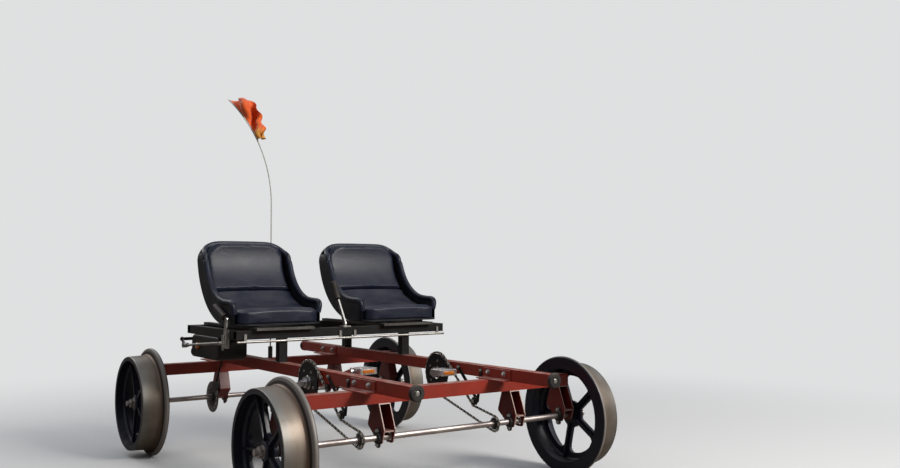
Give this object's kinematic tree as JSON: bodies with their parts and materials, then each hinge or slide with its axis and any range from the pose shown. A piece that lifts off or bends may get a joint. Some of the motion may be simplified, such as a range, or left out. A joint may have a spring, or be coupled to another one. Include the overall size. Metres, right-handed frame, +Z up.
{
  "type": "pedal railway handcar",
  "caption": "Two-seat pedal railcar: side-by-side bucket seats on a red steel frame, four flanged spoked wheels, chain drive to the front axle, safety flag on a whip.",
  "frame": {"origin": "on the floor under the middle of the car, midway between the axles and the wheels", "axes": "+Z up, -Y forward in the direction of travel, +X to the riders' left"},
  "size_m": [1.632, 2.232, 1.8721],
  "materials": {
    "frame_red": "semi-gloss brick red enamel, dusty",
    "wheel_iron": "blue-black paint, tread worn to bare steel",
    "bearing_cast": "dark cast housing",
    "bumper_rubber": "matt black",
    "axle_steel": "bright bar, light rust film",
    "disc_steel": "ground",
    "chain_steel": "oiled",
    "guide_plastic": "black",
    "black_steel": "satin black",
    "crank_alloy": "satin",
    "sprocket_steel": "oiled",
    "rail_steel": "zinc plated",
    "shell_plastic": "moulded",
    "seat_vinyl": "navy marine vinyl, fine grain",
    "case_plastic": "moulded black",
    "lamp_amber": "amber lens",
    "grip_rubber": "dark brown grip",
    "whip_fibre": "white fibreglass rod",
    "flag_cloth": "orange woven polyester",
    "pedal_alloy": "cast cage"
  },
  "bodies": {
    "frame": {"bearings_front": "bearing_cast", "bearings_rear": "bearing_cast", "brake_caliper": "black_steel", "brake_lever": "rail_steel", "brake_rod": "rail_steel", "bumpers_front": "bumper_rubber", "bumpers_rear": "bumper_rubber", "chain_guide_left": "guide_plastic", "chain_guide_right": "guide_plastic", "chain_left": "chain_steel", "chain_right": "chain_steel", "cross_beam_front": "frame_red", "cross_beam_rear": "frame_red", "flag": "flag_cloth", "flag_whip": "whip_fibre", "guide_strap_left": "black_steel", "guide_strap_right": "black_steel", "hanger_front_inner_left": "frame_red", "hanger_front_inner_right": "frame_red", "hanger_front_outer_left": "frame_red", "hanger_front_outer_right": "frame_red", "hanger_rear_inner_left": "frame_red", "hanger_rear_inner_right": "frame_red", "hanger_rear_outer_left": "frame_red", "hanger_rear_outer_right": "frame_red", "lever_grip": "grip_rubber", "marker_lamp": "lamp_amber", "seat_cross_tubes": "black_steel", "seat_end_tubes": "black_steel", "seat_posts": "black_steel", "seat_rails_left": "rail_steel", "seat_rails_right": "rail_steel", "side_beam_left": "frame_red", "side_beam_right": "frame_red", "storage_case": "case_plastic"},
    "front_axle_set": {"front_axle": "axle_steel", "wheel_front_left": "wheel_iron", "wheel_front_right": "wheel_iron"},
    "rear_axle_set": {"rear_axle": "axle_steel", "wheel_rear_left": "wheel_iron", "wheel_rear_right": "wheel_iron", "brake_disc": "disc_steel"},
    "freewheel_left": {"sprocket_left": "sprocket_steel"},
    "freewheel_right": {"sprocket_right": "sprocket_steel"},
    "crank_left": {"crank_spindle_left": "axle_steel", "crank_arms_left": "crank_alloy", "chainring_left": "black_steel"},
    "crank_right": {"crank_spindle_right": "axle_steel", "crank_arms_right": "crank_alloy", "chainring_right": "black_steel"},
    "seat_left": {"seat_shell_left": "shell_plastic", "seat_cushion_left": "seat_vinyl", "seat_back_left": "seat_vinyl"},
    "seat_right": {"seat_shell_right": "shell_plastic", "seat_cushion_right": "seat_vinyl", "seat_back_right": "seat_vinyl"},
    "pedal_left_a": {"pedal_left_a": "pedal_alloy"},
    "pedal_left_b": {"pedal_left_b": "pedal_alloy"},
    "pedal_right_a": {"pedal_right_a": "pedal_alloy"},
    "pedal_right_b": {"pedal_right_b": "pedal_alloy"}
  },
  "joints": [
    {"name": "front_axle_spin", "type": "hinge", "parent": "frame", "child": "front_axle_set", "pos_m": [0, -0.768, 0.267], "axis": [1, 0, 0], "continuous": true},
    {"name": "rear_axle_spin", "type": "hinge", "parent": "frame", "child": "rear_axle_set", "pos_m": [0, 0.768, 0.267], "axis": [1, 0, 0], "continuous": true},
    {"name": "crank_left_spin", "type": "hinge", "parent": "frame", "child": "crank_left", "pos_m": [-0.335, -0.343, 0.45], "axis": [1, 0, 0], "continuous": true},
    {"name": "freewheel_left_spin", "type": "hinge", "parent": "frame", "child": "freewheel_left", "pos_m": [-0.379, -0.768, 0.267], "axis": [1, 0, 0], "continuous": true},
    {"name": "pedal_left_a_spin", "type": "hinge", "parent": "crank_left", "child": "pedal_left_a", "pos_m": [-0.205, -0.50468, 0.50253], "axis": [1, 0, 0], "continuous": true},
    {"name": "pedal_left_b_spin", "type": "hinge", "parent": "crank_left", "child": "pedal_left_b", "pos_m": [-0.465, -0.18132, 0.39747], "axis": [1, 0, 0], "continuous": true},
    {"name": "seat_left_slide", "type": "slide", "parent": "frame", "child": "seat_left", "axis": [0, 1, 0], "range_m": [-0.09, 0.07]},
    {"name": "crank_right_spin", "type": "hinge", "parent": "frame", "child": "crank_right", "pos_m": [0.335, -0.343, 0.45], "axis": [1, 0, 0], "continuous": true},
    {"name": "freewheel_right_spin", "type": "hinge", "parent": "frame", "child": "freewheel_right", "pos_m": [0.291, -0.768, 0.267], "axis": [1, 0, 0], "continuous": true},
    {"name": "pedal_right_a_spin", "type": "hinge", "parent": "crank_right", "child": "pedal_right_a", "pos_m": [0.465, -0.17427, 0.42928], "axis": [1, 0, 0], "continuous": true},
    {"name": "pedal_right_b_spin", "type": "hinge", "parent": "crank_right", "child": "pedal_right_b", "pos_m": [0.205, -0.51173, 0.47072], "axis": [1, 0, 0], "continuous": true},
    {"name": "seat_right_slide", "type": "slide", "parent": "frame", "child": "seat_right", "axis": [0, 1, 0], "range_m": [-0.09, 0.07]}
  ],
  "couplings": [
    {"joint": "freewheel_left_spin", "follows": "crank_left_spin", "ratio": 2.875},
    {"joint": "freewheel_right_spin", "follows": "crank_right_spin", "ratio": 2.875}
  ]
}
